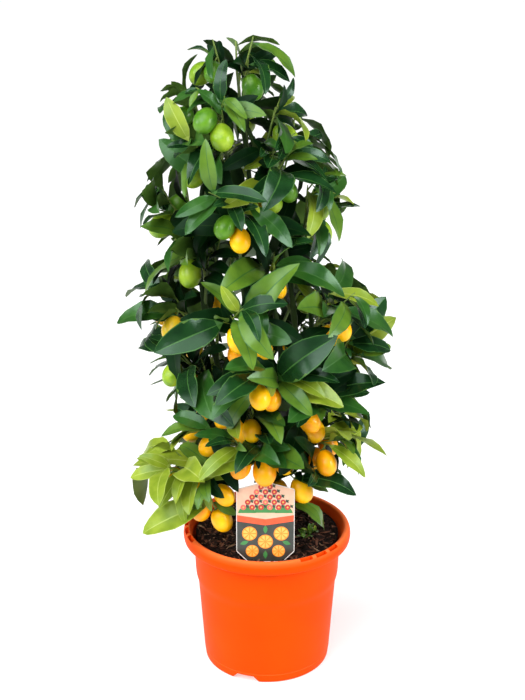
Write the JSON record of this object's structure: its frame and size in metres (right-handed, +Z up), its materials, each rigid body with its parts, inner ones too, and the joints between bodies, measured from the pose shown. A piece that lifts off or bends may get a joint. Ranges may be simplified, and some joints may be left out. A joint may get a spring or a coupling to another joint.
{
  "type": "potted kumquat tree",
  "caption": "Small kumquat tree trained as a leafy column with ripening fruit, growing in a round plastic nursery pot with soil and a plain plant tag.",
  "frame": {"origin": "the middle of the pot's flat underside", "axes": "+Z up along the pot's axis, -Y towards the front, where the tag stands, +X to the right of a viewer in front"},
  "size_m": [0.305, 0.301, 0.7453],
  "materials": {
    "pot": "satin, moulded",
    "soil": "rough, fibrous potting peat",
    "tag": "glossy printed card",
    "bark": "matt young bark",
    "stem": "smooth green bark",
    "leaf": "glossy leathery leaf"
  },
  "bodies": {
    "root": {"pot": "pot", "soil": "soil", "tag": "tag", "trunk": "bark", "stem_1": "stem", "stem_2": "stem", "stem_3": "stem", "stem_4": "stem", "stem_5": "stem", "stem_6": "stem", "spray_1_a": "leaf", "spray_1_b": "leaf", "spray_1_c": "leaf", "spray_2_a": "leaf", "spray_2_b": "leaf", "spray_2_c": "leaf", "spray_2_d": "leaf", "spray_3_a": "leaf", "spray_3_b": "leaf", "spray_3_c": "leaf", "spray_3_d": "leaf", "spray_4_a": "leaf", "spray_4_b": "leaf", "spray_4_c": "leaf", "spray_4_d": "leaf", "spray_5_a": "leaf", "spray_5_b": "leaf", "spray_5_c": "leaf", "spray_5_d": "leaf", "spray_6_a": "leaf", "spray_6_b": "leaf", "spray_6_c": "leaf", "spray_6_d": "leaf", "spray_6_e": "leaf", "spray_7_a": "leaf", "spray_7_b": "leaf", "spray_7_c": "leaf", "spray_7_d": "leaf", "spray_7_e": "leaf", "spray_8_a": "leaf", "spray_8_b": "leaf", "spray_8_c": "leaf", "spray_8_d": "leaf", "spray_8_e": "leaf", "spray_9_a": "leaf", "spray_9_b": "leaf", "spray_9_c": "leaf", "spray_9_d": "leaf", "spray_9_e": "leaf", "spray_10_a": "leaf", "spray_10_b": "leaf", "spray_10_c": "leaf", "spray_10_d": "leaf"}
  },
  "joints": []
}
